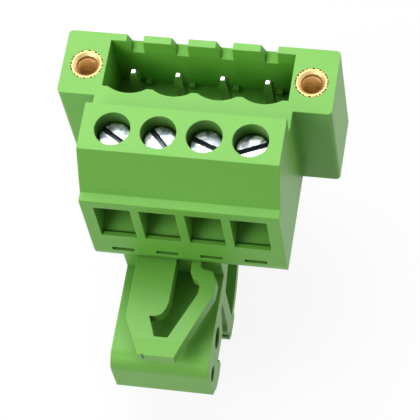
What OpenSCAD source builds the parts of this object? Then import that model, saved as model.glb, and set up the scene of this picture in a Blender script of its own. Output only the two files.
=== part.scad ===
// Pluggable terminal block for a top-hat rail: an open socket header for the plug, a row of
// screw clamps in front of it, threaded inserts in both flanges and a clip-on rail foot.
// Origin: the rail's centre line, on the plane of its brims, in the middle of the foot.
// +X runs along the row, +Y towards the header, +Z away from the rail.

/* [Row] */
// Number of poles
poles = 4; // [3:1:8]
// Distance from pole to pole
pitch = 5.08; // [5.0:0.01:5.2]
// Pole that the foot sits under, counted from the left
foot_pole = 2; // [2:1:2]

/* [Header] */
// Height of the block from its underside to the socket's rim
header_h = 15.2; // [14.8:0.1:17]
// Rim's rear face behind the line of the inserts
header_back = 4.24; // [4.1:0.02:4.8]
// Socket's inner depth, front to back, at its narrowest
socket_d = 5.7; // [5.5:0.02:5.8]
// Depth of the socket below its rim
socket_depth = 8.6; // [7.8:0.1:8.8]
// From the last pin to the socket's end wall
socket_end = 2.86; // [2.4:0.02:3.0]
// Thickness of the socket's rear wall
back_wall = 1.08; // [0.8:0.02:1.1]
// How far each scallop reaches into the socket's front wall
scallop_s = 0.68; // [0.4:0.02:0.8]
// Width of the scallops, as a half chord
scallop_half = 2.2; // [1.8:0.05:2.3]
// Width of the notches in the rear rim
notch_w = 1.4; // [1:0.05:2]
// Depth of the notches at the rim's rear face
notch_depth = 1.2; // [0.8:0.1:1.5]
// Extra depth of the notches at the rim's inner face
notch_fall = 0.8; // [0.4:0.1:1]
// Height of the lead-in along the rear wall
lead_h = 1.8; // [1:0.1:2.5]
// How far the lead-in thins the rear wall
lead_t = 0.2; // [0.1:0.05:0.4]
// Height of the small stops at the foot of the rear wall
stop_h = 0.9; // [0.6:0.1:2]

/* [Flanges] */
// Width of each flange beyond the screw block's side
flange_w = 4.3; // [4:0.02:5.2]
// Depth of each flange, front to back
flange_d = 8.06; // [7.2:0.02:8.2]
// Radius of the flanges' upright edges
flange_r = 0.5; // [0.2:0.05:0.9]
// Outside diameter of the threaded inserts
insert_d = 3.7; // [3.2:0.05:3.8]
// Core diameter of the inserts' M3 thread
insert_bore = 2.5; // [2:0.05:2.6]
// Length of the inserts
insert_len = 8; // [5:0.5:10]

/* [Screw block] */
// Rise of the screw block above the socket's rim
tower_rise = 3.0; // [2.7:0.1:4]
// Rear face of the screw block, in front of the inserts
tower_back = 6.45; // [6.4:0.05:6.8]
// Depth of the screw block's flat top
tower_d = 5.7; // [5.3:0.05:5.8]
// Run of the sloping front, front to back
slope_run = 2.6; // [2.5:0.05:3]
// Drop of the sloping front
slope_drop = 5.35; // [5:0.05:5.4]
// Depth of the ledge over the wire entries
ledge_d = 1.05; // [0.7:0.05:1.2]
// Width of a wire entry
entry_w = 4.1; // [3.8:0.05:4.2]
// Height of a wire entry
entry_h = 6.5; // [6.2:0.05:6.6]
// Top of the wire entries below the socket's rim
entry_sink = 3.75; // [3.65:0.05:3.9]
// Outer wall beside the end entries
side_wall = 1.46; // [1.2:0.02:1.8]
// Screw axis in front of the inserts
screw_y = 9.4; // [9.3:0.05:9.5]
// Diameter of the screwdriver holes
access_d = 4.0; // [3.9:0.05:4.3]
// Width of the small windows low on the front, where the cover locks
window_w = 2.56; // [2:0.02:3]
// Height of those windows
window_h = 0.75; // [0.6:0.05:0.8]

/* [Clamp] */
// Diameter of the screw head
head_d = 3.84; // [3.5:0.02:3.84]
// Height of the screw head
head_h = 1.8; // [1.4:0.1:2]
// Top of the screw head below the screw block's top
head_sink = 1.9; // [1.6:0.1:2]
// Nominal thread diameter of the screw
thread_d = 3.0; // [2.6:0.1:3.2]
// Width of the driver slot
slot_w = 0.6; // [0.5:0.05:0.8]
// Depth of the driver slot
slot_depth = 0.9; // [0.6:0.05:1.1]
// Travel of the cage from open to closed
clamp_travel = 2.6; // [2.2:0.1:2.7]
// Outside width of the cage
cage_w = 4.1; // [3.9:0.05:4.2]
// Depth of the cage, front to back
cage_d = 4.4; // [4:0.05:4.5]
// Thickness of the cage's threaded top
cage_top = 1.35; // [1.1:0.05:1.4]
// Thickness of the cage's sides
cage_wall = 0.45; // [0.4:0.05:0.45]
// Thickness of the cage's bottom
cage_floor = 0.9; // [0.7:0.05:1]
// Width of the contact's bar
bar_w = 2.5; // [2.2:0.05:2.6]
// Thickness of the contact's strip
bar_t = 0.9; // [0.8:0.05:1]
// Side of the square pin
pin_w = 1.0; // [0.9:0.02:1.02]
// Pin axis behind the inserts
pin_y = 0.4; // [0.3:0.05:0.8]
// Pin tips below the socket's rim
pin_sink = 1.4; // [1:0.1:2]

/* [Bottom cover] */
// Thickness of the cover
cover_t = 2.4; // [2.3:0.05:2.5]
// Wall of the block around the cover
cover_wall = 1.4; // [1.2:0.05:1.6]

/* [Rail foot] */
// Width of the foot along the rail
foot_w = 11.4; // [11:0.1:14]
// Overall width of the rail
rail_w = 35; // [34.8:0.1:35.2]
// Inner width of the rail's channel
channel_w = 25; // [24.8:0.1:25.2]
// Thickness of the rail's sheet
rail_t = 1.0; // [0.9:0.05:1.1]
// Height of the block's underside above the rail's brims
block_lift = 10; // [9.8:0.1:11]
// Distance of the insert line behind the rail's centre line
block_back = 6.1; // [5.8:0.1:6.3]
// Thickness of the foot's upper plate
plate_t = 1.7; // [1.4:0.05:2]
// Reach of the latch beyond the rail's edge
latch_reach = 4; // [3.6:0.1:5]
// Height of the latch's barrel above the brims
latch_h = 5.7; // [5.6:0.05:6.2]
// Height of the latch's root above the brims
root_h = 5.6; // [5.4:0.1:5.8]
// How deep the foot's heel reaches into the channel
heel_depth = 6.4; // [5.8:0.1:6.4]
// Thickness of the spring leaf
leaf_t = 1.3; // [1:0.1:1.5]
// Rise of the leaf's wave
leaf_rise = 3; // [2:0.1:3.4]
// How far the wave's crest leans to the rear: 1 for a crest in the middle
leaf_skew = 1.4; // [1:0.1:1.6]
// How far the fixed claw and the latch reach under the brims
claw_grip = 1.1; // [0.8:0.1:1.4]
// Diameter of the larger hole across the latch
latch_hole_d = 2.6; // [2:0.1:2.8]
// Diameter of the smaller hole across the latch
latch_eye_d = 1.9; // [1.5:0.1:2]

/* [Clearances] */
// Radial running clearance of screw necks, heads and threads
run_gap = 0.08; // [0.03:0.01:0.1]
// Gap between pieces that are pressed or slid together by hand
fit_gap = 0.05; // [0.03:0.01:0.08]
// Gap on each side of the cage in its shaft
cage_gap = 0.2; // [0.15:0.01:0.25]
// Gap between the foot and the rail
rail_gap = 0.1; // [0.05:0.01:0.2]

/* [Hidden] */
contact_nodes = [for (i = [1:poles]) str("contact_", i)];
cage_nodes = [for (i = [1:poles]) str("clamp_cage_", i)];
screw_nodes = [for (i = [1:poles]) str("clamp_screw_", i)];
$fn = 48;

green = [0.42, 0.74, 0.33];
brass = [0.85, 0.63, 0.36];
tin = [0.80, 0.81, 0.80];
zinc = [0.74, 0.78, 0.86];

over = 1;                                     // how far a cut runs past a face
row_half = (poles - 1) * pitch / 2;           // from the row's middle to the last pole
body_half = row_half + entry_w / 2 + side_wall;
header_half = body_half + flange_w;
insert_x = row_half + pitch;
header_z = block_lift + header_h;             // socket rim above the brims
block_x = -pole_x(foot_pole);                 // row's middle, from the foot's middle

// Socket
socket_back = header_back - back_wall;
socket_front = socket_back - socket_d;
scallop_r = (pow(scallop_half, 2) + pow(scallop_s, 2)) / (2 * scallop_s);

// Screw block, all below the rim and in front of the inserts
tower_front = -tower_back - tower_d;
slope_end = tower_front - slope_run;
ledge_z = tower_rise - slope_drop;
face_y = slope_end - ledge_d;
face_lean = 0.25;
face_round = 0.5;

// Clamp, stacked from the head down
head_top = tower_rise - head_sink;
neck_z = head_top - head_h - fit_gap;
neck_t = 0.35;
shaft_top = neck_z - neck_t;
stop_gap = 0.1;
cage_high = shaft_top - stop_gap;             // cage's top when it is closed
cage_low = cage_high - clamp_travel;          // cage's top when it is open
bar_top = cage_low - cage_top - stop_gap;
screw_tip = bar_top + fit_gap;
jaw_h = stop_gap + bar_t + stop_gap + clamp_travel;
cage_h = cage_top + jaw_h + cage_floor;
cage_bottom = cage_low - cage_h;
shaft_w = cage_w + 2 * cage_gap;
shaft_d = cage_d + 2 * cage_gap + 0.3;
shaft_front = -screw_y - shaft_d / 2;
shaft_back = -screw_y + shaft_d / 2;

// Contact
floor_t = 1.6;
run_top = -socket_depth - floor_t;            // top of the strip under the socket's floor
run_bottom = run_top - bar_t;
drop_back = shaft_back + 1.55;
drop_front = drop_back - bar_t;
bar_front = -screw_y - cage_d / 2 - fit_gap;
bar_gap = 0.1;

// Cover
cover_top = -header_h + cover_t;
cover_half = body_half - cover_wall;
cover_front = face_y + cover_wall;
cover_back = header_back - cover_wall;
pad_top = cage_bottom - stop_gap;
groove_top_w = 5.6;
groove_neck_w = 4.4;
groove_h = 1.2;
window_z = -header_h + 1.8;

// Rail foot, in the rail's frame
edge_y = rail_w / 2;
channel_y = channel_w / 2;
channel_out = channel_y + rail_t;
wall_y = face_y + block_back + 0.6;           // front wall of the foot's trunk
plate_top = block_lift - fit_gap;
plate_bottom = plate_top - plate_t;
plate_back = header_back + block_back - 0.6;
latch_tip = -edge_y - latch_reach;
plate_front = latch_tip - 0.15;
barrel_r = 2;
loop_front = -channel_y + 2.6;                // rear side of the heel's leg
loop_back = channel_y - 6.8;                  // rear wall of the spring loop

function pole_x(i) = (i - (poles + 1) / 2) * pitch;

// Turns an outline drawn in Y and Z into a bar of width w along X
module along_x(w) {
    rotate([90, 0, 90]) linear_extrude(height = w, center = true) children();
}

// Turns an outline drawn in X and Z into a bar of depth d along Y
module along_y(d) {
    rotate([90, 0, 0]) linear_extrude(height = d, center = true) children();
}

// Box given by its lowest and highest corners
module span(low, high) {
    translate(low) cube(high - low);
}

// Upright slab with rounded upright edges, given by its corners
module rounded_span(low, high, r) {
    union() {
        span([low.x + r, low.y, low.z], [high.x - r, high.y, high.z]);
        span([low.x, low.y + r, low.z], [high.x, high.y - r, high.z]);
        for (x = [low.x + r, high.x - r], y = [low.y + r, high.y - r])
            translate([x, y, low.z]) cylinder(r = r, h = high.z - low.z);
    }
}

// Puts what is drawn from the insert line and the rim into the rail's frame
module on_rail() {
    translate([block_x, block_back, header_z]) children();
}

module at_pole(i) {
    translate([pole_x(i), 0, 0]) children();
}

// Side outline of the block: header behind, raised screw block and wire face in front
module block_outline() {
    polygon([
        [header_back, 0],
        [-tower_back, 0],
        [-tower_back, tower_rise],
        [tower_front, tower_rise],
        [slope_end, ledge_z],
        [face_y + 0.08, ledge_z - 0.12],
        [face_y, ledge_z - 0.3],
        [face_y - face_lean, -header_h + 2 * face_round],
        [face_y, -header_h],
        [header_back, -header_h],
    ]);
}

module flanges() {
    for (side = [-1, 1]) {
        inner = side * (body_half - flange_r * 2);
        outer = side * header_half;
        rounded_span([min(inner, outer), header_back - flange_d, -header_h],
                     [max(inner, outer), header_back, 0], flange_r);
    }
}

// The socket that the plug goes into: a scallop for each pole in its front wall, a lead-in
// along its rear wall and a small stop beside each pin
module socket_space() {
    socket_half = row_half + socket_end;
    difference() {
        union() {
            span([-socket_half, socket_front, -socket_depth], [socket_half, socket_back, over]);
            along_x(2 * socket_half) polygon([
                [socket_back - over, over],
                [socket_back + lead_t, over],
                [socket_back + lead_t, 0],
                [socket_back, -lead_h],
                [socket_back - over, -lead_h],
            ]);
            for (i = [1:poles]) at_pole(i) intersection() {
                translate([0, socket_front - scallop_s + scallop_r, -socket_depth])
                    cylinder(r = scallop_r, h = socket_depth + over);
                span([-scallop_half, socket_front - over, -socket_depth - over],
                     [scallop_half, socket_front + over, 2 * over]);
            }
        }
        for (i = [1:poles]) at_pole(i)
            span([0.1, socket_back - 0.5, -socket_depth - over],
                 [0.8, socket_back + over, -socket_depth + stop_h]);
    }
}

// Notches in the rear rim, with a floor that falls inwards and one side more sloping
module rim_notches() {
    deepest = notch_depth + 2 * notch_fall;
    for (i = [1:poles]) at_pole(i) intersection() {
        translate([0, socket_back, 0]) along_y(4 * back_wall) polygon([
            [-notch_w / 2 - 0.45, over],
            [notch_w / 2 + 0.1, over],
            [notch_w / 2 + 0.1, 0],
            [notch_w / 2, -deepest],
            [-notch_w / 2, -deepest],
            [-notch_w / 2, -notch_depth],
            [-notch_w / 2 - 0.45, 0],
        ]);
        along_x(pitch) polygon([
            [socket_back - over, over],
            [header_back + over, over],
            [header_back + over, -notch_depth],
            [header_back, -notch_depth],
            [socket_back, -notch_depth - notch_fall],
            [socket_back - over, -notch_depth - notch_fall],
        ]);
    }
}

// Wire entry with a low sill and a floor that rises towards the clamp
module entry_space() {
    entry_bottom = -entry_sink - entry_h;
    sill = 0.35;
    along_x(entry_w) polygon([
        [face_y - face_lean - over, -entry_sink],
        [shaft_front + over, -entry_sink],
        [shaft_front + over, entry_bottom + 0.7],
        [shaft_front, entry_bottom + 0.7],
        [face_y + 2 * sill, entry_bottom - sill],
        [face_y + sill, entry_bottom],
        [face_y - face_lean - over, entry_bottom],
    ]);
}

// Screwdriver hole, neck and cage shaft, open from below for assembly
module clamp_space() {
    translate([0, -screw_y, neck_z]) cylinder(d = access_d, h = tower_rise - neck_z + over);
    translate([0, -screw_y, neck_z - over]) cylinder(d = thread_d + 2 * run_gap, h = 2 * over);
    span([-shaft_w / 2, shaft_front, cover_top - over], [shaft_w / 2, shaft_back, shaft_top]);
}

// Way of the contact's strip, open from below, and its square hole up into the socket
module contact_space() {
    half = bar_w / 2 + bar_gap;
    hole = pin_w / 2 + fit_gap;
    span([-half, shaft_back - over, cover_top - over],
         [half, drop_back + bar_gap, bar_top + bar_gap]);
    span([-half, drop_front, cover_top - over],
         [half, pin_y + hole, run_top + bar_gap]);
    span([-hole, pin_y - hole, run_top - over], [hole, pin_y + hole, -socket_depth + over]);
}

module window_space() {
    span([-window_w / 2, face_y - face_lean - over, window_z - window_h / 2],
         [window_w / 2, cover_front + over, window_z + window_h / 2]);
}

module cover_space() {
    span([-cover_half, cover_front, -header_h - over], [cover_half, cover_back, cover_top]);
}

module insert_space() {
    translate([0, 0, -insert_len - 0.5]) cylinder(d = insert_d, h = insert_len + over);
}

module housing() {
    color(green) on_rail() difference() {
        union() {
            along_x(2 * body_half) block_outline();
            flanges();
        }
        socket_space();
        rim_notches();
        cover_space();
        for (i = [1:poles]) at_pole(i) {
            entry_space();
            clamp_space();
            contact_space();
            window_space();
        }
        for (side = [-1, 1]) translate([side * insert_x, 0, 0]) insert_space();
    }
}

// Cover pressed in from below: a pad under each cage, a rib under each strip, a tongue in each window and
// a dovetail groove for the foot
module bottom_cover() {
    color(green) on_rail() difference() {
        union() {
            span([-cover_half + fit_gap, cover_front + fit_gap, -header_h],
                 [cover_half - fit_gap, cover_back - fit_gap, cover_top - fit_gap]);
            for (i = [1:poles]) at_pole(i) {
                span([-cage_w / 2, shaft_front + cage_gap, cover_top - over],
                     [cage_w / 2, shaft_back - cage_gap, pad_top]);
                span([-bar_w / 2, drop_front, cover_top - over],
                     [bar_w / 2, pin_y + pin_w / 2, run_bottom - fit_gap]);
                window_tongue();
            }
        }
        translate([-block_x, (cover_front + cover_back) / 2, -header_h])
            along_y(cover_back - cover_front + 2 * over) dovetail(fit_gap);
    }
}

module window_tongue() {
    half_w = window_w / 2 - fit_gap;
    half_h = window_h / 2 - fit_gap;
    span([-half_w, cover_front - 0.9, window_z - half_h],
         [half_w, cover_front + over, window_z + half_h]);
}

// Dovetail outline in X and Z, standing on Z = 0, widened by gap on every side
module dovetail(gap) {
    polygon([
        [-groove_neck_w / 2 - gap, -over],
        [groove_neck_w / 2 + gap, -over],
        [groove_neck_w / 2 + gap, 0],
        [groove_top_w / 2 + gap, groove_h + gap],
        [-groove_top_w / 2 - gap, groove_h + gap],
        [-groove_neck_w / 2 - gap, 0],
    ]);
}

module insert_body() {
    chamfer = 0.25;
    rotate_extrude() polygon([
        [insert_bore / 2, -insert_len],
        [insert_d / 2 - chamfer, -insert_len],
        [insert_d / 2, -insert_len + chamfer],
        [insert_d / 2, 0],
        [insert_bore / 2 + chamfer, 0],
        [insert_bore / 2, -chamfer],
    ]);
}

module insert(side) {
    color(brass) on_rail() translate([side * insert_x, 0, 0]) insert_body();
}

// One strip: bar in the cage, drop behind it, run under the socket and square pin
module contact(i) {
    tip_t = 0.8;
    tip_w = pin_w * 0.3;
    color(tin) on_rail() at_pole(i) union() {
        along_x(bar_w) polygon([
            [bar_front, bar_top],
            [drop_back, bar_top],
            [drop_back, run_top],
            [pin_y + pin_w / 2, run_top],
            [pin_y + pin_w / 2, run_bottom],
            [drop_front, run_bottom],
            [drop_front, bar_top - bar_t],
            [bar_front, bar_top - bar_t],
        ]);
        translate([0, pin_y, 0]) intersection() {
            along_x(pin_w) pin_outline(tip_t, tip_w);
            along_y(pin_w) pin_outline(tip_t, tip_w);
        }
    }
}

module pin_outline(tip_t, tip_w) {
    polygon([
        [-pin_w / 2, run_bottom],
        [pin_w / 2, run_bottom],
        [pin_w / 2, -pin_sink - tip_t],
        [tip_w / 2, -pin_sink],
        [-tip_w / 2, -pin_sink],
        [-pin_w / 2, -pin_sink - tip_t],
    ]);
}

// Rising cage, drawn open: the screw lifts it and its floor presses the wire to the bar
module clamp_cage(i) {
    color(zinc) on_rail() at_pole(i) translate([0, -screw_y, cage_low]) difference() {
        span([-cage_w / 2, -cage_d / 2, -cage_h], [cage_w / 2, cage_d / 2, 0]);
        span([-cage_w / 2 + cage_wall, -cage_d / 2 - over, -cage_top - jaw_h],
             [cage_w / 2 - cage_wall, cage_d / 2 + over, -cage_top]);
        translate([0, 0, -cage_top - over])
            cylinder(d = thread_d + 2 * run_gap, h = cage_top + 2 * over);
    }
}

// Angles at which the screws' slots stand, repeated along longer rows
slot_angles = [-32, -46, -22, 23];

// Captive cheese-head screw that bears on the contact's bar
module clamp_screw(i) {
    chamfer = 0.3;
    color(zinc) on_rail() at_pole(i) translate([0, -screw_y, 0])
        rotate([0, 0, slot_angles[(i - 1) % len(slot_angles)]]) difference() {
            rotate_extrude() polygon([
                [0, head_top],
                [head_d / 2 - chamfer, head_top],
                [head_d / 2, head_top - chamfer],
                [head_d / 2, head_top - head_h],
                [thread_d / 2, head_top - head_h],
                [thread_d / 2, screw_tip + chamfer],
                [thread_d / 2 - chamfer, screw_tip],
                [0, screw_tip],
            ]);
            span([-head_d, -slot_w / 2, head_top - slot_depth],
                 [head_d, slot_w / 2, head_top + over]);
        }
}

// Latch: arm on the front brim, round barrel, sloping lead-in and nub under the brim
module latch_outline() {
    nub_top = -rail_t - rail_gap;
    union() {
        polygon([
            [wall_y + 0.3, root_h],
            [-edge_y + 4, root_h],
            [-edge_y, latch_h],
            [latch_tip + barrel_r, latch_h],
            [latch_tip, latch_h - barrel_r],
            [latch_tip, -0.7],
            [-edge_y - 2.5, -2.2],
            [-edge_y - 0.7, -2.7],
            [-edge_y + claw_grip / 2, -2.3],
            [-edge_y + claw_grip / 2, nub_top],
            [-edge_y - rail_gap, nub_top + 0.6],
            [-edge_y - rail_gap, 0],
            [-channel_out - 0.5, 0],
            [-channel_out + 0.7, 2.9],
            [-channel_out + 1.1, 3.3],
            [-channel_out + 1.8, 3.3],
            [loop_front + 0.2, 3],
        ]);
        translate([latch_tip + barrel_r, latch_h - barrel_r]) circle(r = barrel_r);
    }
}

// Leg that goes down into the channel, with a grooved heel against its front wall
module heel_outline() {
    groove = 0.6;
    front = -channel_y + rail_gap;
    polygon([
        [-channel_y + 0.8, 3.5],
        [front + 0.5, -heel_depth + 4],
        [front, -heel_depth + 3.2],
        [front, -heel_depth + 1.6 + groove],
        [front + groove, -heel_depth + 1.5 + groove],
        [front + groove, -heel_depth + 1.6],
        [front, -heel_depth + 1.5],
        [front + 0.1, -heel_depth + 0.6],
        [front + 0.9, -heel_depth],
        [loop_front + 0.6, -heel_depth],
        [loop_front + 1.1, -heel_depth + 0.6],
        [loop_front + 0.9, -heel_depth + 1.4],
        [loop_front, -heel_depth + 2.4],
        [loop_front, 3],
    ]);
}

// Spring leaf from the heel to the loop's rear wall: one skewed wave of a cosine
function leaf_wave(t) = leaf_rise / 2 * (1 - cos(360 * pow(t, leaf_skew)));
function leaf_z(t) = -heel_depth + leaf_t / 2 + 0.9 + leaf_wave(t) + 1.6 * t;

module leaf_outline() {
    steps = 24;
    from = loop_front;
    to = loop_back + leaf_t / 2;
    function leaf_point(k, rise) = [from + (to - from) * k / steps, leaf_z(k / steps) + rise];
    union() {
        polygon(concat(
            [for (k = [0:steps]) leaf_point(k, leaf_t / 2)],
            [for (k = [steps:-1:0]) leaf_point(k, -leaf_t / 2)]
        ));
        translate([to, leaf_z(1)]) circle(d = leaf_t);
    }
}

// Crossing struts that carry the latch from the trunk
module strut_outline() {
    polygon([
        [wall_y, plate_bottom + 0.2],
        [wall_y + 0.8, plate_bottom + 0.2],
        [wall_y + 0.9, root_h + 1.2],
        [wall_y + 0.4, root_h + 0.6],
        [wall_y + 2.3, plate_bottom + 0.2],
        [wall_y + 5.6, plate_bottom + 0.2],
        [wall_y + 3.1, root_h - 1.1],
        [loop_front, 2.7],
        [loop_front - 1, 3.2],
        [wall_y, root_h],
    ]);
}

// Rear wall of the loop, seat on the rear brim and fixed claw under it
module claw_outline() {
    claw_back = edge_y + rail_gap + 1.1;
    polygon([
        [loop_back, plate_bottom + 0.2],
        [loop_back, leaf_z(1)],
        [loop_back + leaf_t, leaf_z(1)],
        [loop_back + leaf_t + 0.2, 0],
        [edge_y + rail_gap, 0],
        [edge_y + rail_gap, -rail_t - rail_gap],
        [edge_y - claw_grip, -rail_t - rail_gap],
        [edge_y - claw_grip + 0.5, -rail_t - rail_gap - 1.3],
        [claw_back - 0.4, -rail_t - rail_gap - 1.3],
        [claw_back, -rail_t - rail_gap - 0.9],
        [claw_back, 1.4],
        [claw_back - 0.8, 2.2],
        [channel_y, 2.6],
        [loop_back + leaf_t + 1.2, 4.4],
        [plate_back, plate_bottom + 0.2],
    ]);
}

// Forward tongue of the upper plate: a hooked slot frees a spring arm that ends in a nub
module plate_outline() {
    left = -foot_w / 2 + 1.9;
    slot_front = plate_front + 2.25;
    arm_end = wall_y - 1.7;
    nub_end = wall_y - 0.3;
    polygon([
        [left, wall_y + 0.4],
        [left, plate_front + 4.3],
        [left + 2.03, plate_front],
        [2.4, plate_front],
        [5.7, arm_end - 2.8],
        [5.75, arm_end - 1.1],
        [5.2, arm_end],
        [3.95, arm_end + 0.2],
        [3.65, arm_end + 0.6],
        [3.65, nub_end],
        [2.6, nub_end],
        [2.65, arm_end - 0.3],
        [3, arm_end - 0.9],
        [3.75, arm_end - 1.3],
        [4, arm_end - 2],
        [3.85, arm_end - 3],
        [1.35, slot_front],
        [-0.2, slot_front],
        [-1.15, slot_front + 2.45],
        [-0.4, slot_front + 2.5],
        [0.2, slot_front + 2.8],
        [0.6, slot_front + 3.5],
        [0.8, slot_front + 4.4],
        [0.85, wall_y + 0.4],
    ]);
}

// Tongue with a falling front edge and the mark that the moulding gate leaves there
module plate_tongue() {
    fall = 0.25;
    run = 1.9;
    mark_w = 0.2;
    mark_x = -1.2;
    difference() {
        translate([0, 0, plate_bottom]) linear_extrude(height = plate_t) plate_outline();
        along_x(foot_w) polygon([
            [plate_front + run, plate_top],
            [plate_front + run, plate_top + over],
            [plate_front - over, plate_top + over],
            [plate_front - over, plate_top - fall - fall / run],
        ]);
        span([mark_x - mark_w / 2, plate_front - over, plate_bottom + 0.4],
             [mark_x + mark_w / 2, plate_front + 0.12, plate_top]);
    }
}

module rail_foot() {
    color(green) union() {
        difference() {
            along_x(foot_w) union() {
                latch_outline();
                heel_outline();
                leaf_outline();
                strut_outline();
                claw_outline();
            }
            translate([0, -edge_y + 1.6, 2.9]) along_x_hole(latch_hole_d);
            translate([0, -edge_y - 2.5, 1.9]) along_x_hole(latch_eye_d);
        }
        span([-foot_w / 2, wall_y, plate_bottom], [foot_w / 2, plate_back, plate_top]);
        plate_tongue();
        translate([0, (wall_y + plate_back) / 2, plate_top])
            along_y(plate_back - wall_y - 2) dovetail(0);
    }
}

module along_x_hole(d) {
    rotate([0, 90, 0]) cylinder(d = d, h = foot_w + 2 * over, center = true);
}

housing();
bottom_cover();
insert(-1);  // insert_left
insert(1);  // insert_right
rail_foot();
for (i = [1:poles]) {
    contact(i);
    clamp_cage(i);
    clamp_screw(i);
}
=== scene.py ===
"""Dresses the rail-mounted pluggable terminal block: green mouldings, clamp screws and inserts."""

import logging
import math
from dataclasses import dataclass, field
from enum import Enum
from typing import Callable

import bmesh
import bpy
from mathutils import Matrix, Vector


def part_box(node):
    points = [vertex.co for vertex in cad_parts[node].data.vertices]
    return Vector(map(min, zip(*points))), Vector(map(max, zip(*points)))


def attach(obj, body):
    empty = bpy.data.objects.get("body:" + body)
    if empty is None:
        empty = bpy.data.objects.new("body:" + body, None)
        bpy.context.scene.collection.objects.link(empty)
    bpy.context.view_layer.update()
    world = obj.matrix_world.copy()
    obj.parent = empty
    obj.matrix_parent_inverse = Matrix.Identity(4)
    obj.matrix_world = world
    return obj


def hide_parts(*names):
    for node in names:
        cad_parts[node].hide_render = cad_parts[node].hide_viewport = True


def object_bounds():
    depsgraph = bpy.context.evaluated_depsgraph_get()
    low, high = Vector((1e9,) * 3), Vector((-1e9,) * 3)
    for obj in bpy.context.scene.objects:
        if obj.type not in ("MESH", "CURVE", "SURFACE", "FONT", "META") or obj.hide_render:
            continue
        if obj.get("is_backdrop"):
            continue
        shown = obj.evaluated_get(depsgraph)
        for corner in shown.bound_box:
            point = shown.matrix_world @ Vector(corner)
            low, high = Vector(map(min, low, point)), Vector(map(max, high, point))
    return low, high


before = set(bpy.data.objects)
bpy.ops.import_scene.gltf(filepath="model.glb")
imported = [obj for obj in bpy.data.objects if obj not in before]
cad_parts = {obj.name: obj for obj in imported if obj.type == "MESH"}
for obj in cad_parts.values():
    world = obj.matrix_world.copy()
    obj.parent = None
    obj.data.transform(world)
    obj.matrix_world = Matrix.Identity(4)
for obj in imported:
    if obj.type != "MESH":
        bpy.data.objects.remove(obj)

LOG = logging.getLogger("terminal_block")
MM = 0.001
POLES = 4
# A face, edge or corner this close to a plane or a line counts as lying on it
NEAR = 0.01 * MM
# Least share of a unit normal that makes a face look along an axis
FACING = 0.9
# Length after which the wave texture repeats at a scale of 1
WAVE_REPEAT = 0.314
# Rays that the bevel and the recess nodes send out
EDGE_SAMPLES = 6


class Rides(Enum):
    """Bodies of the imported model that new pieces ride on."""

    BLOCK = "block"
    SCREW = "screw_{}"


class Slot(Enum):
    """Names of material slots, which no piece here takes."""

    INSERT = "insert"
    CONTACT = "contact"
    SCREW = "screw"


def to_linear(hex_colour: str) -> tuple[float, float, float, float]:
    """Turns an sRGB hex colour into linear light.

    Args:
        hex_colour: Colour such as "#6FB84E".

    Returns:
        Red, green, blue and alpha for a shader socket.
    """
    digits = hex_colour.lstrip("#")
    shares = [int(digits[k : k + 2], 16) / 255 for k in (0, 2, 4)]
    light = [s / 12.92 if s <= 0.04045 else ((s + 0.055) / 1.055) ** 2.4 for s in shares]
    return (light[0], light[1], light[2], 1.0)


def add_node(
    tree: bpy.types.NodeTree,
    kind: str,
    settings: dict | None = None,
    links: dict | None = None,
) -> bpy.types.Node:
    """Adds one shader node with its settings and incoming links.

    Args:
        tree: Node tree of the material or world.
        kind: Node type, such as "ShaderNodeTexNoise".
        settings: Attribute names, or input sockets by name or index, with their values.
        links: Input sockets by name or index, with the output sockets that feed them.

    Returns:
        The new node.
    """
    node = tree.nodes.new(kind)
    for key, value in (settings or {}).items():
        if isinstance(key, str) and hasattr(node, key):
            setattr(node, key, value)
        else:
            node.inputs[key].default_value = value
    for key, socket in (links or {}).items():
        tree.links.new(socket, node.inputs[key])
    return node


def new_material(name: str) -> tuple[bpy.types.Material, bpy.types.NodeTree]:
    """Makes an empty node material.

    Args:
        name: Name of the material.

    Returns:
        The material and its node tree.
    """
    material = bpy.data.materials.new(name)
    material.use_nodes = True
    material.node_tree.nodes.clear()
    return material, material.node_tree


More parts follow.
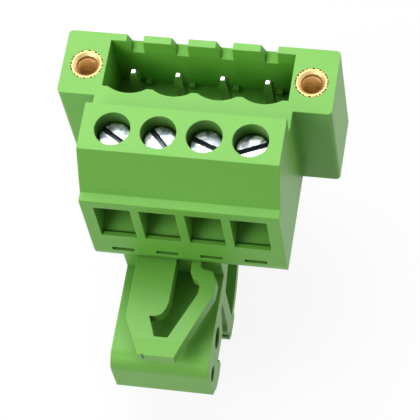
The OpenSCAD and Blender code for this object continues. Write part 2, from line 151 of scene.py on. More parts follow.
@dataclass(frozen=True)
class MouldedPolyamide:
    """Injection-moulded polyamide 66: a satin skin from a fine spark-eroded mould.

    The eye gets a saturated even green with a soft broad highlight, faint clouds where the
    melt flowed, and light that enters a thin edge and makes it look a little brighter. A painted
    highlight pales the edges, and painted shade darkens the deep recesses and dims their
    reflection.
    """

    name: str
    colour: str = "#7DC74E"
    cloud: str = "#72BB44"
    roughness: float = 0.42
    glossier: float = 0.05
    duller: float = 0.06
    cloud_mm: float = 7.0
    grain_mm: float = 0.22
    grain_depth_mm: float = 0.006
    grain_strength: float = 0.35
    edge_radius_mm: float = 0.13
    # Painted highlight: the edges, where the bevelled normal turns away from the face, are mixed
    # towards this paler green
    painted_edge_highlight: str = "#A6E27F"
    edge_highlight_share: float = 0.55
    edge_highlight_from: float = 0.995
    edge_highlight_full: float = 0.86
    shine: float = 0.35
    depth_glow: float = 0.08
    depth_mm: float = 0.8
    # Painted shade: ambient occlusion within this reach darkens the colour and dims the specular
    # level in the recesses
    recess_mm: float = 5.0
    recess_shade_share: float = 0.2
    recess_closed: float = 0.12
    recess_open: float = 0.6

    def build(self) -> bpy.types.Material:
        """Makes the material.

        Returns:
            The finished material.
        """
        material, tree = new_material(self.name)
        where = add_node(tree, "ShaderNodeTexCoord")
        clouds = add_node(
            tree,
            "ShaderNodeTexNoise",
            {"Scale": 1 / (self.cloud_mm * MM), "Detail": 3.0, "Roughness": 0.55},
            {"Vector": where.outputs["Object"]},
        )
        # The grain is drawn about four times coarser than the real mould's, so that it shows
        grain = add_node(
            tree,
            "ShaderNodeTexNoise",
            {"Scale": 1 / (self.grain_mm * MM), "Detail": 2.0, "Roughness": 0.6},
            {"Vector": where.outputs["Object"]},
        )
        shade = add_node(
            tree,
            "ShaderNodeMix",
            {"data_type": "RGBA", 6: to_linear(self.cloud), 7: to_linear(self.colour)},
            {0: clouds.outputs["Fac"]},
        )
        gloss = add_node(
            tree,
            "ShaderNodeMapRange",
            {"From Min": 0.3, "From Max": 0.7,
             "To Min": self.roughness - self.glossier, "To Max": self.roughness + self.duller},
            {"Value": grain.outputs["Fac"]},
        )
        edges = add_node(
            tree,
            "ShaderNodeBevel",
            {"samples": EDGE_SAMPLES, "Radius": self.edge_radius_mm * MM},
        )
        # Painted shade: one on open faces, falling in the recesses
        recess_shade_factor = self._recess_shade_factor(tree)
        colour_with_painted_light = self._paint_light_and_shade(tree, shade.outputs[2], edges.outputs["Normal"], recess_shade_factor)
        # Painted shade on the reflection: the specular level falls in the recesses
        shine = add_node(
            tree,
            "ShaderNodeMath",
            {"operation": "MULTIPLY", 1: self.shine},
            {0: recess_shade_factor},
        )
        skin = add_node(
            tree,
            "ShaderNodeBump",
            {"Strength": self.grain_strength, "Distance": self.grain_depth_mm * MM},
            {"Height": grain.outputs["Fac"], "Normal": edges.outputs["Normal"]},
        )
        shader = add_node(
            tree,
            "ShaderNodeBsdfPrincipled",
            {"IOR": 1.53, "Subsurface Weight": self.depth_glow,
             "Subsurface Scale": self.depth_mm * MM, "Subsurface Radius": (0.6, 1.0, 0.3)},
            {"Base Color": colour_with_painted_light, "Roughness": gloss.outputs["Result"],
             "Specular IOR Level": shine.outputs["Value"],
             "Normal": skin.outputs["Normal"]},
        )
        add_node(tree, "ShaderNodeOutputMaterial", links={"Surface": shader.outputs["BSDF"]})
        return material

    def _recess_shade_factor(self, tree: bpy.types.NodeTree) -> bpy.types.NodeSocket:
        """Measures how open a face is, for the shade painted into the recesses.

        Args:
            tree: Node tree of the material.

        Returns:
            One on open faces, falling to the recesses' share.
        """
        occlusion = add_node(
            tree,
            "ShaderNodeAmbientOcclusion",
            {"samples": EDGE_SAMPLES, "Distance": self.recess_mm * MM},
        )
        recess_darkening = add_node(
            tree,
            "ShaderNodeMapRange",
            {"From Min": self.recess_closed, "From Max": self.recess_open,
             "To Min": self.recess_shade_share, "To Max": 1.0},
            {"Value": occlusion.outputs["AO"]},
        )
        return recess_darkening.outputs["Result"]

    def _paint_light_and_shade(
        self,
        tree: bpy.types.NodeTree,
        colour: bpy.types.NodeSocket,
        rounded: bpy.types.NodeSocket,
        recess_shade_factor: bpy.types.NodeSocket,
    ) -> bpy.types.NodeSocket:
        """Paints a highlight on the edges and shade in the recesses.

        Args:
            tree: Node tree of the material.
            colour: Colour of the surface without the painted light.
            rounded: Normal that turns round the edges.
            recess_shade_factor: One on open faces, less in recesses.

        Returns:
            The colour with the painted highlight and the painted shade.
        """
        # Painted highlight: the colour is mixed towards the paler green where the bevelled normal
        # leaves the face's own normal
        flat = add_node(tree, "ShaderNodeNewGeometry")
        bend = add_node(
            tree,
            "ShaderNodeVectorMath",
            {"operation": "DOT_PRODUCT"},
            {0: rounded, 1: flat.outputs["Normal"]},
        )
        edge_highlight_mask = add_node(
            tree,
            "ShaderNodeMapRange",
            {"From Min": self.edge_highlight_from, "From Max": self.edge_highlight_full,
             "To Min": 0.0, "To Max": self.edge_highlight_share},
            {"Value": bend.outputs["Value"]},
        )
        painted_edge_highlight = add_node(
            tree,
            "ShaderNodeMix",
            {"data_type": "RGBA", 7: to_linear(self.painted_edge_highlight)},
            {0: edge_highlight_mask.outputs["Result"], 6: colour},
        )
        # Painted shade: the colour is scaled down in the recesses
        shaded_colour = add_node(
            tree,
            "ShaderNodeVectorMath",
            {"operation": "SCALE"},
            {0: painted_edge_highlight.outputs[2], "Scale": recess_shade_factor},
        )
        return shaded_colour.outputs["Vector"]


def end_metal(
    tree: bpy.types.NodeTree,
    colour: bpy.types.NodeSocket,
    gloss: bpy.types.NodeSocket,
    relief: bpy.types.NodeSocket,
    strength: float,
    depth_mm: float,
    edge_radius_mm: float,
) -> None:
    """Ends a metal's node tree with soft edges, fine relief and the metal itself.

    Args:
        tree: Node tree of the material.
        colour: Colour of the metal.
        gloss: Its roughness.
        relief: Height of its grain or lathe marks.
        strength: How much of the relief is felt.
        depth_mm: Depth of the relief.
        edge_radius_mm: Radius that the edges seem to have.
    """
    edges = add_node(
        tree, "ShaderNodeBevel", {"samples": EDGE_SAMPLES, "Radius": edge_radius_mm * MM}
    )
    skin = add_node(
        tree,
        "ShaderNodeBump",
        {"Strength": strength, "Distance": depth_mm * MM},
        {"Height": relief, "Normal": edges.outputs["Normal"]},
    )
    shader = add_node(
        tree,
        "ShaderNodeBsdfPrincipled",
        {"Metallic": 1.0},
        {"Base Color": colour, "Roughness": gloss, "Normal": skin.outputs["Normal"]},
    )
    add_node(tree, "ShaderNodeOutputMaterial", links={"Surface": shader.outputs["BSDF"]})


@dataclass(frozen=True)
class PlatedMetal:
    """Barrel-plated metal: the base metal's colour under a thin bright layer.

    The eye gets a clear reflection, blurred a little by the plating's fine grain, and faint
    lighter and darker patches where the passivation is thicker.
    """

    name: str
    colour: str
    patch: str
    roughness: float
    glossier: float = 0.05
    duller: float = 0.08
    patch_mm: float = 1.6
    grain_mm: float = 0.12
    grain_depth_mm: float = 0.004
    grain_strength: float = 0.4
    edge_radius_mm: float = 0.05

    def build(self) -> bpy.types.Material:
        """Makes the material.

        Returns:
            The finished material.
        """
        material, tree = new_material(self.name)
        where = add_node(tree, "ShaderNodeTexCoord")
        patches = add_node(
            tree,
            "ShaderNodeTexNoise",
            {"Scale": 1 / (self.patch_mm * MM), "Detail": 2.0},
            {"Vector": where.outputs["Object"]},
        )
        grain = add_node(
            tree,
            "ShaderNodeTexNoise",
            {"Scale": 1 / (self.grain_mm * MM), "Detail": 2.0},
            {"Vector": where.outputs["Object"]},
        )
        shade = add_node(
            tree,
            "ShaderNodeMix",
            {"data_type": "RGBA", 6: to_linear(self.patch), 7: to_linear(self.colour)},
            {0: patches.outputs["Fac"]},
        )
        gloss = add_node(
            tree,
            "ShaderNodeMapRange",
            {"From Min": 0.3, "From Max": 0.7,
             "To Min": self.roughness - self.glossier, "To Max": self.roughness + self.duller},
            {"Value": patches.outputs["Fac"]},
        )
        end_metal(
            tree, shade.outputs[2], gloss.outputs["Result"], grain.outputs["Fac"],
            self.grain_strength, self.grain_depth_mm, self.edge_radius_mm,
        )
        return material


@dataclass(frozen=True)
class TurnedZinc:
    """Zinc-plated steel turned on an automatic lathe, blue passivated.

    The eye gets a cold bright face with fine rings about the screw's axis, which stretch the
    highlights across the head.
    """

    name: str
    centre: Vector
    colour: str = "#DEE3E4"
    # Painted dark reflection: random patches of the face are mixed towards this dark grey
    painted_dark_reflection: str = "#747D80"
    roughness: float = 0.3
    glossier: float = 0.06
    duller: float = 0.1
    reflection_patch_mm: float = 1.5
    ring_mm: float = 0.12
    ring_depth_mm: float = 0.004
    ring_strength: float = 0.5
    edge_radius_mm: float = 0.05
    reflection_patch_from: float = 0.42
    reflection_patch_full: float = 0.56

    def build(self) -> bpy.types.Material:
        """Makes the material.

        Returns:
            The finished material.
        """
        material, tree = new_material(self.name)
        where = add_node(tree, "ShaderNodeTexCoord")
        centred = add_node(
            tree,
            "ShaderNodeMapping",
            {"Location": -self.centre},
            {"Vector": where.outputs["Object"]},
        )
        # The lathe's feed marks are drawn about twice as wide as real ones, so that they show
        rings = add_node(
            tree,
            "ShaderNodeTexWave",
            {"wave_type": "RINGS", "rings_direction": "Z",
             "Scale": WAVE_REPEAT / (self.ring_mm * MM), "Distortion": 0.6, "Detail": 1.0},
            {"Vector": centred.outputs["Vector"]},
        )
        # Painted dark reflection: these patches darken the colour, and they also vary the
        # roughness
        reflection_patches = add_node(
            tree,
            "ShaderNodeTexNoise",
            {"Scale": 1 / (self.reflection_patch_mm * MM), "Detail": 2.0, "Distortion": 1.4},
            {"Vector": where.outputs["Object"]},
        )
        cover = add_node(
            tree,
            "ShaderNodeMapRange",
            {"From Min": self.reflection_patch_from, "From Max": self.reflection_patch_full},
            {"Value": reflection_patches.outputs["Fac"]},
        )
        shade = add_node(
            tree,
            "ShaderNodeMix",
            {"data_type": "RGBA", 6: to_linear(self.painted_dark_reflection), 7: to_linear(self.colour)},
            {0: cover.outputs["Result"]},
        )
        gloss = add_node(
            tree,
            "ShaderNodeMapRange",
            {"To Min": self.roughness - self.glossier, "To Max": self.roughness + self.duller},
            {"Value": reflection_patches.outputs["Fac"]},
        )
        end_metal(
            tree, shade.outputs[2], gloss.outputs["Result"], rings.outputs["Fac"],
            self.ring_strength, self.ring_depth_mm, self.edge_radius_mm,
        )
        return material


def deselect_all() -> None:
    """Leaves edit mode and clears the selection."""
    if bpy.context.mode != "OBJECT":
        bpy.ops.object.mode_set(mode="OBJECT")
    bpy.ops.object.select_all(action="DESELECT")


def pick(piece: bpy.types.Object) -> None:
    """Makes one object the only selected and active one."""
    deselect_all()
    piece.select_set(True)
    bpy.context.view_layer.objects.active = piece


def select_where(
    piece: bpy.types.Object,
    mode: str,
    test: Callable[[Vector, Vector], bool],
) -> None:
    """Selects faces, edges or vertices of the piece that is in edit mode, by place.

    Args:
        piece: Mesh object in edit mode.
        mode: "FACE", "EDGE" or "VERT".
        test: Says from an element's centre and normal (or edge direction) if it is wanted.
    """
    bpy.ops.mesh.select_mode(type=mode)
    bpy.ops.mesh.select_all(action="DESELECT")
    edit = bmesh.from_edit_mesh(piece.data)
    if mode == "FACE":
        items = [(f, f.calc_center_median(), f.normal) for f in edit.faces]
    elif mode == "EDGE":
        items = [
            (e, (e.verts[0].co + e.verts[1].co) / 2, (e.verts[1].co - e.verts[0].co).normalized())
            for e in edit.edges
        ]
    else:
        items = [(v, v.co, v.normal) for v in edit.verts]
    for item, centre, direction in items:
        item.select_set(bool(test(centre, direction)))
    edit.select_flush_mode()
    bmesh.update_edit_mesh(piece.data)


def settle(piece: bpy.types.Object, smooth_deg: float) -> None:
    """Applies place, turn and scale, and shades by angle.

    Args:
        piece: Mesh object.
        smooth_deg: Edges flatter than this are smooth.
    """
    pick(piece)
    bpy.ops.object.transform_apply(location=True, rotation=True, scale=True)
    bpy.ops.object.shade_smooth_by_angle(angle=math.radians(smooth_deg))


def apply_modifier(piece: bpy.types.Object, kind: str, **settings: object) -> None:
    """Adds a modifier and applies it.

    Args:
        piece: Mesh object.
        kind: Modifier type, such as "BOOLEAN".
        **settings: Values of the modifier's settings.
    """
    pick(piece)
    modifier = piece.modifiers.new(kind.title(), kind)
    for key, value in settings.items():
        setattr(modifier, key, value)
    bpy.ops.object.modifier_apply(modifier=modifier.name)


def join(target: bpy.types.Object, *others: bpy.types.Object) -> None:
    """Joins other objects into the target."""
    pick(target)
    for other in others:
        other.select_set(True)
    bpy.ops.object.join()


def copy_piece(piece: bpy.types.Object, name: str, shift: Vector) -> bpy.types.Object:
    """Copies a piece to another place, with a mesh of its own.

    Args:
        piece: Piece to copy, at the origin and riding on nothing.
        name: Name of the copy.
        shift: Way from the piece to the copy.

    Returns:
        The copy, with its place in its mesh.
    """
    deselect_all()
    twin = piece.copy()
    twin.data = piece.data.copy()
    twin.name = name
    bpy.context.scene.collection.objects.link(twin)
    twin.location = shift
    pick(twin)
    bpy.ops.object.transform_apply(location=True, rotation=False, scale=False)
    return twin


def discard(piece: bpy.types.Object) -> None:
    """Removes a cutter or a model that has been copied."""
    deselect_all()
    bpy.data.objects.remove(piece, do_unlink=True)


def paint_selected(piece: bpy.types.Object, index: int) -> None:
    """Gives the selected faces of a piece in edit mode one of its materials."""
    piece.active_material_index = index
    bpy.ops.object.material_slot_assign()


def helix_ridge(
    axis_point: Vector,
    crest: float,
    root: float,
    thread_pitch: float,
    turns: int,
    steps: int = 28,
) -> bpy.types.Object:
    """Makes a screw thread's ridge: a triangle carried along a helix that rises from a point.

    Args:
        axis_point: Lowest point of the ridge, on the thread's axis.
        crest: Radius of the ridge's sharp side.
        root: Radius of the ridge's broad side.
        thread_pitch: Rise for each turn.
        turns: Number of turns.
        steps: Flats in each turn.

    Returns:
        The ridge, closed at both ends.
    """
    deselect_all()
    bpy.ops.mesh.primitive_circle_add(vertices=3, radius=0.3 * thread_pitch, fill_type="NOTHING")
    ridge = bpy.context.object
    flank = 0.42 * thread_pitch
    corners = [Vector((crest, 0.0, 0.0)), Vector((root, 0.0, flank)), Vector((root, 0.0, -flank))]
    for vertex, corner in zip(ridge.data.vertices, corners):
        vertex.co = corner
    apply_modifier(
        ridge,
        "SCREW",
        axis="Z",
        angle=math.tau,
        screw_offset=thread_pitch,
        iterations=turns,
        steps=steps,
        render_steps=steps,
        use_merge_vertices=True,
        merge_threshold=1e-7,
    )
    pick(ridge)
    bpy.ops.object.mode_set(mode="EDIT")
    bpy.ops.mesh.select_mode(type="EDGE")
    bpy.ops.mesh.select_all(action="DESELECT")
    bpy.ops.mesh.select_non_manifold()
    bpy.ops.mesh.edge_face_add()
    bpy.ops.mesh.select_all(action="SELECT")
    bpy.ops.mesh.normals_make_consistent(inside=False)
    bpy.ops.object.mode_set(mode="OBJECT")
    ridge.location = axis_point
    settle(ridge, smooth_deg=20.0)
    return ridge


def corners_of(node: str) -> tuple[Vector, Vector, Vector]:
    """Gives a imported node's box.

    Args:
        node: Name of the node.

    Returns:
        Its lowest corner, its highest corner and its centre.
    """
    low, high = (Vector(corner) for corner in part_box(node))
    return low, high, (low + high) / 2


def extrude(by: tuple[float, float, float]) -> None:
    """Extrudes the selected faces.

    Args:
        by: Way of the extrusion, in metres.
    """
    bpy.ops.mesh.extrude_region_move(TRANSFORM_OT_translate={"value": by})


@dataclass
class ThreadedInserts:
    """Brass inserts with a knurled rim and an M3 thread, one in each flange."""

    nodes: tuple[str, ...] = ("insert_left", "insert_right")
    brass: PlatedMetal = PlatedMetal(
        "turned_brass", "#E8CF9C", "#D5AC74", 0.4, edge_radius_mm=0.03
    )
    # Painted shade: a rougher, darker copy of the brass for the upper face, which tones down its
    # highlight
    shaded_rim_brass: PlatedMetal = PlatedMetal(
        "knurled_rim_brass_painted_shade", "#CDB27A", "#B2925F", 0.5, edge_radius_mm=0.03
    )
    teeth: int = 28
    knurl_depth: float = 0.14 * MM
    land: float = 0.06 * MM
    thread_root: float = 1.23 * MM
    thread_crest: float = 1.1 * MM
    thread_pitch: float = 0.5 * MM
    thread_start: float = 0.35 * MM
    thread_short: float = 0.9 * MM
    thread_sunk: float = 0.02 * MM
    mouth: float = 0.28 * MM

    def build(self) -> None:
        """Makes the inserts in place of their plain nodes."""
        brass = self.brass.build()
        shaded_rim_brass = self.shaded_rim_brass.build()
        for node in self.nodes:
            low, high, centre = corners_of(node)
            insert = self._threaded(low, high, centre)
            insert.name = node + "_knurled"
            insert.data.materials.clear()
            insert.data.materials.append(brass)
            insert.data.materials.append(shaded_rim_brass)
            self._shade_rim(insert, high)
            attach(insert, Rides.BLOCK.value)
            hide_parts(node)
            LOG.info("built %s", insert.name)

    def _shade_rim(self, insert: bpy.types.Object, high: Vector) -> None:
        """Gives the upper face of an insert the rougher, darker brass, painted shade that tones
        down its highlight.

        Args:
            insert: The insert.
            high: Highest corner of its box.
        """
        pick(insert)
        bpy.ops.object.mode_set(mode="EDIT")
        select_where(insert, "FACE", lambda c, n: n.z > FACING and c.z > high.z - NEAR)
        paint_selected(insert, 1)
        bpy.ops.object.mode_set(mode="OBJECT")

    def _threaded(self, low: Vector, high: Vector, centre: Vector) -> bpy.types.Object:
        """Makes one insert with its thread.

        Args:
            low: Lowest corner of the insert's box.
            high: Highest corner of the insert's box.
            centre: Middle of the insert's box.

        Returns:
            The undressed insert.
        """
        length = high.z - low.z
        body = self._sleeve(centre, (high.x - low.x) / 2, length)
        ridge = helix_ridge(
            Vector((centre.x, centre.y, low.z + self.thread_start)),
            self.thread_crest,
            self.thread_root + self.thread_sunk,
            self.thread_pitch,
            int((length - self.thread_short) / self.thread_pitch),
        )
        join(body, ridge)
        return body

    def _sleeve(self, centre: Vector, radius: float, length: float) -> bpy.types.Object:
        """Makes the knurled sleeve with its bore.

        Args:
            centre: Middle of the insert.
            radius: Outer radius over the knurl.
            length: Length along Z.

        Returns:
            The sleeve.
        """
        deselect_all()
        bpy.ops.mesh.primitive_cylinder_add(
            vertices=4 * self.teeth, radius=radius, depth=length, end_fill_type="NGON",
            location=centre,
        )
        sleeve = bpy.context.object
        pick(sleeve)
        bpy.ops.object.transform_apply(location=True, rotation=False, scale=False)
        bpy.ops.object.mode_set(mode="EDIT")
        # Rim, chamfer and bore: both ends are inset, and the inner discs give way to the bore
        select_where(sleeve, "FACE", lambda c, n: abs(n.z) > FACING)
        bpy.ops.mesh.inset(thickness=self.knurl_depth + self.land, use_individual=True)
        ring = radius - self.knurl_depth - self.land
        bpy.ops.mesh.inset(thickness=ring - self.thread_root - self.mouth, use_individual=True)
        bpy.ops.mesh.inset(thickness=self.mouth, depth=-self.mouth, use_individual=True)
        bpy.ops.mesh.delete(type="FACE")
        axis = Vector((centre.x, centre.y))
        select_where(
            sleeve,
            "EDGE",
            lambda c, d: (c.xy - axis).length < self.thread_root + NEAR and abs(d.z) < FACING,
        )
        bpy.ops.mesh.bridge_edge_loops()
        # Knurl: two of every four corners move in
        step = math.tau / (4 * self.teeth)
        select_where(
            sleeve,
            "VERT",
            lambda c, n: (c.xy - axis).length > radius - NEAR
            and round(math.atan2(c.y - centre.y, c.x - centre.x) / step + 0.5) % 4 < 2,
        )
        shrink = (radius - self.knurl_depth) / radius
        bpy.ops.transform.resize(value=(shrink, shrink, 1.0), center_override=centre)
        bpy.ops.mesh.select_all(action="SELECT")
        bpy.ops.mesh.normals_make_consistent(inside=False)
        bpy.ops.object.mode_set(mode="OBJECT")
        settle(sleeve, smooth_deg=25.0)
        return sleeve


@dataclass
class ClampScrews:
    """Cheese-head clamp screws with a driver slot and a rolled M3 thread."""

    slots_deg: tuple[float, ...] = (-32.0, -46.0, -22.0, 23.0)
    # Painted shade: a darker copy of the zinc for the slot's floor and walls
    slot_shade_zinc: PlatedMetal = PlatedMetal("zinc_with_painted_slot_shade", "#7A8386", "#596164", 0.4)
    head_h: float = 1.8 * MM
    slot_w: float = 0.6 * MM
    slot_depth: float = 0.9 * MM
    slot_tool: tuple[float, float] = (8 * MM, 2.0 * MM)
    thread_crest: float = 1.5 * MM
    thread_root: float = 1.27 * MM
    thread_pitch: float = 0.5 * MM
    thread_start: float = 0.35 * MM
    thread_short: float = 0.45 * MM
    thread_sunk: float = 0.02 * MM
    neck_h: float = 0.5 * MM
    edge: float = 0.28 * MM
    tip: float = 0.25 * MM

    def build(self) -> None:
        """Makes the screws in place of their plain nodes."""
        slot_shade_zinc = self.slot_shade_zinc.build()
        low, high, centre = corners_of("clamp_screw_1")
        blank = self._blank(low, high, centre)
        shank = high.z - self.head_h - self.neck_h - low.z
        ridge = helix_ridge(
            Vector((centre.x, centre.y, low.z + self.thread_start)),
            self.thread_crest,
            self.thread_root - self.thread_sunk,
            self.thread_pitch,
            int((shank - self.thread_short) / self.thread_pitch),
        )
        for number, slot_deg in enumerate(self.slots_deg, start=1):
            node = f"clamp_screw_{number}"
            _, top, axis = corners_of(node)
            screw = copy_piece(blank, node + "_slotted", axis - centre)
            self._cut_slot(screw, top, axis, slot_deg)
            join(screw, copy_piece(ridge, "thread", axis - centre))
            screw.data.materials.clear()
            screw.data.materials.append(TurnedZinc(f"blue_zinc_turned_{number}", axis).build())
            screw.data.materials.append(slot_shade_zinc)
            # Painted shade: the slot's floor and walls take the darker zinc
            self._paint_slot_shade(screw, top, axis, slot_deg)
            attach(screw, Rides.SCREW.value.format(number))
            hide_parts(node)
            LOG.info("built %s", screw.name)
        discard(blank)
        discard(ridge)

    def _blank(self, low: Vector, high: Vector, centre: Vector) -> bpy.types.Object:
        """Makes the head, neck and shank from one cylinder.

        Args:
            low: Lowest corner of the screw's box.
            high: Highest corner of the screw's box.
            centre: Middle of the screw's box.

        Returns:
            The blank, with no slot and no thread.
        """
        radius = (high.x - low.x) / 2
        under_head = high.z - self.head_h
        deselect_all()
        bpy.ops.mesh.primitive_cylinder_add(
            vertices=64, radius=radius, depth=self.head_h, end_fill_type="NGON",
            location=(centre.x, centre.y, high.z - self.head_h / 2),
        )
        head = bpy.context.object
        pick(head)
        bpy.ops.object.transform_apply(location=True, rotation=False, scale=False)
        bpy.ops.object.mode_set(mode="EDIT")
        select_where(head, "EDGE", lambda c, d: abs(c.z - high.z) < NEAR)
        bpy.ops.mesh.bevel(offset=self.edge, segments=4, affect="EDGES")
        # Neck, shank and tip are drawn down from the head's underside
        select_where(head, "FACE", lambda c, n: n.z < -FACING and abs(c.z - under_head) < NEAR)
        bpy.ops.mesh.inset(thickness=radius - self.thread_root)
        extrude((0, 0, low.z + self.tip - under_head))
        extrude((0, 0, -self.tip))
        narrow = (self.thread_root - self.tip) / self.thread_root
        end = Vector((centre.x, centre.y, low.z))
        bpy.ops.transform.resize(value=(narrow, narrow, 1.0), center_override=end)
        bpy.ops.object.mode_set(mode="OBJECT")
        settle(head, smooth_deg=40.0)
        return head

    def _cut_slot(
        self, screw: bpy.types.Object, high: Vector, axis: Vector, slot_deg: float
    ) -> None:
        """Mills the driver slot.

        Args:
            screw: The blank.
            high: Highest corner of the screw's box.
            axis: Middle of the screw's box.
            slot_deg: Turn of the slot about Z.
        """
        length, height = self.slot_tool
        deselect_all()
        bpy.ops.mesh.primitive_cube_add(
            size=1.0, location=(axis.x, axis.y, high.z - self.slot_depth + height / 2)
        )
        cutter = bpy.context.object
        cutter.scale = (length, self.slot_w, height)
        cutter.rotation_euler = (0.0, 0.0, math.radians(slot_deg))
        pick(cutter)
        bpy.ops.object.transform_apply(location=True, rotation=True, scale=True)
        apply_modifier(screw, "BOOLEAN", operation="DIFFERENCE", object=cutter, solver="EXACT")
        discard(cutter)
        settle(screw, smooth_deg=30.0)

    def _paint_slot_shade(
        self, screw: bpy.types.Object, high: Vector, axis: Vector, slot_deg: float
    ) -> None:
        """Paints shade on the slot's floor and walls with a darker copy of the zinc.
            high: Highest corner of the screw's box.
            axis: Middle of the screw's box.
            slot_deg: Turn of the slot about Z.
        """
        turn = math.radians(slot_deg)
        across = Vector((-math.sin(turn), math.cos(turn)))
        floor = high.z - self.slot_depth
        pick(screw)
        bpy.ops.object.mode_set(mode="EDIT")
        select_where(
            screw,
            "FACE",
            lambda c, n: floor - NEAR < c.z < high.z - NEAR
            and abs((c.xy - axis.xy).dot(across)) < self.slot_w / 2 + NEAR
            and (abs(n.xy.dot(across)) > FACING or abs(c.z - floor) < NEAR),
        )
        paint_selected(screw, 1)
        bpy.ops.object.mode_set(mode="OBJECT")


@dataclass
class StripContacts:
    """Contacts bent from one strip each, whose square pins end in a blunt coined tip."""

    tin: PlatedMetal = PlatedMetal(
        "tin_plated_bronze", "#BEBFB8", "#A3A49D", 0.24, edge_radius_mm=0.08
    )
    strip: float = 0.9 * MM
    bar_top: float = 5.85 * MM
    bar_length: float = 5.45 * MM
    pin_w: float = 1.0 * MM
    tip_w: float = 0.525 * MM
    tip_h: float = 0.8 * MM
    tip_edge: float = 0.07 * MM

    def build(self) -> None:
        """Makes the contacts in place of their plain nodes."""
        low, high, centre = corners_of("contact_1")
        model = self._bent_strip(low, high, centre)
        self._pin(model, low, high, centre)
        settle(model, smooth_deg=30.0)
        model.data.materials.clear()
        model.data.materials.append(self.tin.build())
        for number in range(1, POLES + 1):
            node = f"contact_{number}"
            contact = copy_piece(model, node + "_coined", corners_of(node)[2] - centre)
            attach(contact, Rides.BLOCK.value)
            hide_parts(node)
            LOG.info("built %s", contact.name)
        discard(model)

    def _bent_strip(self, low: Vector, high: Vector, centre: Vector) -> bpy.types.Object:
        """Makes the bar under the screw, the drop behind it and the run to the pin.

        Args:
            low: Lowest corner of the contact's box.
            high: Highest corner of the contact's box.
            centre: Middle of the contact's box.

        Returns:
            The strip, with no pin.
        """
        top = low.z + self.bar_top
        bend = low.y + self.bar_length
        deselect_all()
        bpy.ops.mesh.primitive_cube_add(
            size=1.0, location=(centre.x, low.y + self.bar_length / 2, top - self.strip / 2)
        )
        piece = bpy.context.object
        piece.scale = (high.x - low.x, self.bar_length, self.strip)
        pick(piece)
        bpy.ops.object.transform_apply(location=True, rotation=False, scale=True)
        bpy.ops.object.mode_set(mode="EDIT")
        select_where(piece, "FACE", lambda c, n: n.y > FACING)
        extrude((0, self.strip, 0))
        select_where(piece, "FACE", lambda c, n: n.z < -FACING and c.y > bend)
        extrude((0, 0, low.z + 2 * self.strip - top))
        extrude((0, 0, -self.strip))
        select_where(piece, "FACE", lambda c, n: n.y > FACING and c.z < low.z + self.strip)
        extrude((0, high.y - self.pin_w - bend - self.strip, 0))
        extrude((0, self.pin_w, 0))
        bpy.ops.object.mode_set(mode="OBJECT")
        return piece

    def _pin(self, piece: bpy.types.Object, low: Vector, high: Vector, centre: Vector) -> None:
        """Draws the pin up from the end of the run.

        Args:
            piece: The bent strip.
            low: Lowest corner of the contact's box.
            high: Highest corner of the contact's box.
            centre: Middle of the contact's box.
        """
        foot = low.z + self.strip
        axis = Vector((centre.x, high.y - self.pin_w / 2, high.z))
        pick(piece)
        bpy.ops.object.mode_set(mode="EDIT")
        for side in (-0.5, 0.5):
            bpy.ops.mesh.select_all(action="SELECT")
            bpy.ops.mesh.bisect(
                plane_co=(centre.x + side * self.pin_w, 0.0, 0.0), plane_no=(1.0, 0.0, 0.0)
            )
        select_where(
            piece,
            "FACE",
            lambda c, n: n.z > FACING and (c.xy - axis.xy).length < NEAR and c.z < foot + NEAR,
        )
        extrude((0, 0, high.z - self.tip_h - foot))
        extrude((0, 0, self.tip_h))
        share = self.tip_w / self.pin_w
        bpy.ops.transform.resize(value=(share, share, 1.0), center_override=axis)
        select_where(piece, "EDGE", lambda c, d: c.z > high.z - NEAR)
        bpy.ops.mesh.bevel(offset=self.tip_edge, segments=2, affect="EDGES")
        bpy.ops.object.mode_set(mode="OBJECT")


def dress_node(node: str, material: bpy.types.Material) -> None:
    """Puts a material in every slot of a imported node.

    Args:
        node: Name of the node.
        material: Its new material.
    """
    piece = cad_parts[node]
    if not piece.material_slots:
        piece.data.materials.append(material)
    for place in piece.material_slots:
        place.material = material
    LOG.info("dressed %s", node)


@dataclass
class Mouldings:
    """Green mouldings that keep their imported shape."""

    housing: MouldedPolyamide = MouldedPolyamide("polyamide_green_housing")
    cover: MouldedPolyamide = MouldedPolyamide("polyamide_green_cover", "#78C04A", "#6DB340")
    foot: MouldedPolyamide = MouldedPolyamide("polyamide_green_foot", "#7FC553", "#74B949")

    def dress(self) -> None:
        """Gives each green node its material."""
        dress_node("housing", self.housing.build())
        dress_node("bottom_cover", self.cover.build())
        dress_node("rail_foot", self.foot.build())


@dataclass
class Cages:
    """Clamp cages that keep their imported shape."""

    zinc: PlatedMetal = PlatedMetal("zinc_plated_steel", "#C3CBD8", "#A9B4C4", 0.34)

    def dress(self) -> None:
        """Gives each cage its material."""
        zinc = self.zinc.build()
        for number in range(1, POLES + 1):
            dress_node(f"clamp_cage_{number}", zinc)


def seen_directly(tree: bpy.types.NodeTree) -> bpy.types.Node:
    """Tells the rays that show a surface from the rays that only carry light.

    Args:
        tree: Node tree of the material or world.

    Returns:
        A node whose output is 1 for camera, glossy and transmission rays, and 0 for others.
    """
    rays = add_node(tree, "ShaderNodeLightPath")
    plain = add_node(
        tree,
        "ShaderNodeMath",
        {"operation": "MAXIMUM"},
        {0: rays.outputs["Is Camera Ray"], 1: rays.outputs["Is Glossy Ray"]},
    )
    return add_node(
        tree,
        "ShaderNodeMath",
        {"operation": "MAXIMUM"},
        {0: plain.outputs[0], 1: rays.outputs["Is Transmission Ray"]},
    )


@dataclass(frozen=True)
class SoftLamp:
    """Square area lamp, hung at some distance from the object's middle."""

    name: str
    offset: tuple[float, float, float]
    size: float
    power: float

    def build(self, aim: Vector) -> None:
        """Hangs the lamp, facing the object's middle."""
        place = aim + Vector(self.offset)
        deselect_all()
        bpy.ops.object.light_add(type="AREA", location=place)
        lamp = bpy.context.object
        lamp.name = self.name
        lamp.data.shape = "SQUARE"
        lamp.data.size = self.size
        lamp.data.energy = self.power
        lamp.rotation_euler = (aim - place).to_track_quat("-Z", "Y").to_euler()


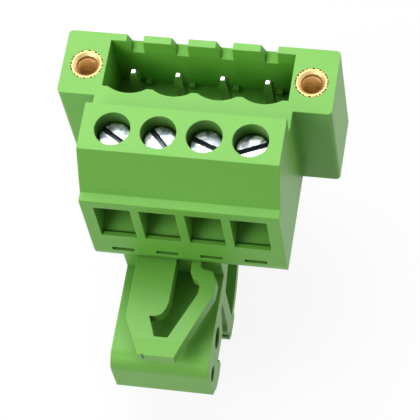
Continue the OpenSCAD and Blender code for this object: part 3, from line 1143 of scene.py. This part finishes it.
@dataclass
class Studio:
    """Pale floor, soft lamps and pale surroundings."""

    floor_size: float = 6.0
    floor_gap: float = 0.05 * MM
    paper: str = "#FDFDFD"
    bounce: str = "#A8A8A8"
    glow: float = 0.9
    sky: float = 0.2
    lamps: tuple[SoftLamp, ...] = (
        SoftLamp("key", (-0.11, 0.20, 0.38), 0.34, 1.75),
        SoftLamp("left", (-0.25, -0.28, 0.27), 0.30, 1.04),
        SoftLamp("rear", (0.30, 0.22, 0.12), 0.30, 0.22),
    )

    def build(self, low: Vector, high: Vector) -> None:
        """Sets the stage round the object.

        Args:
            low: Lowest corner of the object.
            high: Highest corner of the object.
        """
        centre = (low + high) / 2
        self._floor(centre, low.z - self.floor_gap)
        self._surroundings()
        for lamp in self.lamps:
            lamp.build(centre)

    def _floor(self, centre: Vector, height: float) -> None:
        """Lays the pale floor.

        Args:
            centre: Middle of the object.
            height: Height of the floor.
        """
        deselect_all()
        bpy.ops.mesh.primitive_plane_add(
            size=self.floor_size, location=(centre.x, centre.y, height)
        )
        floor = bpy.context.object
        floor.name = "floor"
        material, tree = new_material("matt_paper")
        seen = seen_directly(tree)
        # Rays that only carry light meet a greyer floor than the eye, so that little green and
        # white comes back up into the shadows
        tone = add_node(
            tree,
            "ShaderNodeMix",
            {"data_type": "RGBA", 6: to_linear(self.bounce), 7: to_linear(self.paper)},
            {0: seen.outputs[0]},
        )
        paper = add_node(
            tree,
            "ShaderNodeBsdfPrincipled",
            {"Roughness": 0.9, "Specular IOR Level": 0.1},
            {"Base Color": tone.outputs[2]},
        )
        white = add_node(
            tree, "ShaderNodeEmission", {"Color": to_linear("#FFFFFF"), "Strength": 1.0}
        )
        share = add_node(
            tree, "ShaderNodeMath", {"operation": "MULTIPLY", 1: self.glow}, {0: seen.outputs[0]}
        )
        blend = add_node(
            tree,
            "ShaderNodeMixShader",
            links={0: share.outputs[0], 1: paper.outputs[0], 2: white.outputs[0]},
        )
        add_node(tree, "ShaderNodeOutputMaterial", links={"Surface": blend.outputs[0]})
        floor.data.materials.append(material)
        floor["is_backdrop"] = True

    def _surroundings(self) -> None:
        """Makes the world pale, and white where the camera or a reflection sees it."""
        world = bpy.data.worlds.new("pale_room")
        world.use_nodes = True
        tree = world.node_tree
        tree.nodes.clear()
        seen = seen_directly(tree)
        strength = add_node(
            tree,
            "ShaderNodeMapRange",
            {"To Min": self.sky, "To Max": 1.0},
            {"Value": seen.outputs[0]},
        )
        air = add_node(
            tree,
            "ShaderNodeBackground",
            {"Color": to_linear("#FFFFFF")},
            {"Strength": strength.outputs["Result"]},
        )
        add_node(tree, "ShaderNodeOutputWorld", links={"Surface": air.outputs[0]})
        bpy.context.scene.world = world


@dataclass
class Viewpoint:
    """Camera above the wire side, turned to the right and rolled a little."""

    place: Vector = field(default_factory=lambda: Vector((46.7, -113.0, 235.6)) * MM)
    right: Vector = field(default_factory=lambda: Vector((0.96492, 0.19002, -0.18119)))
    aim: Vector = field(default_factory=lambda: Vector((4.0, -4.1, 12.0)) * MM)
    lens: float = 190.0
    sensor: float = 36.0
    nearest: float = 0.01

    def build(self) -> None:
        """Places the camera and makes it the scene's."""
        deselect_all()
        bpy.ops.object.camera_add(location=self.place)
        camera = bpy.context.object
        camera.name = "camera"
        back = (self.place - self.aim).normalized()
        right = (self.right - back * self.right.dot(back)).normalized()
        up = back.cross(right)
        turn = Matrix((right, up, back)).transposed()
        camera.rotation_euler = turn.to_euler()
        camera.data.lens = self.lens
        camera.data.sensor_width = self.sensor
        camera.data.clip_start = self.nearest
        bpy.context.scene.camera = camera


def main() -> None:
    """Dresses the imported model, builds the new pieces and sets the stage."""
    logging.basicConfig(level=logging.INFO, format="%(name)s: %(message)s")
    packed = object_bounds()
    low, high = (Vector(corner) for corner in packed)
    Mouldings().dress()
    Cages().dress()
    StripContacts().build()
    ThreadedInserts().build()
    ClampScrews().build()
    Studio().build(low, high)
    Viewpoint().build()
    bpy.context.scene.view_settings.view_transform = "Standard"
    deselect_all()


if __name__ == "__main__":
    main()
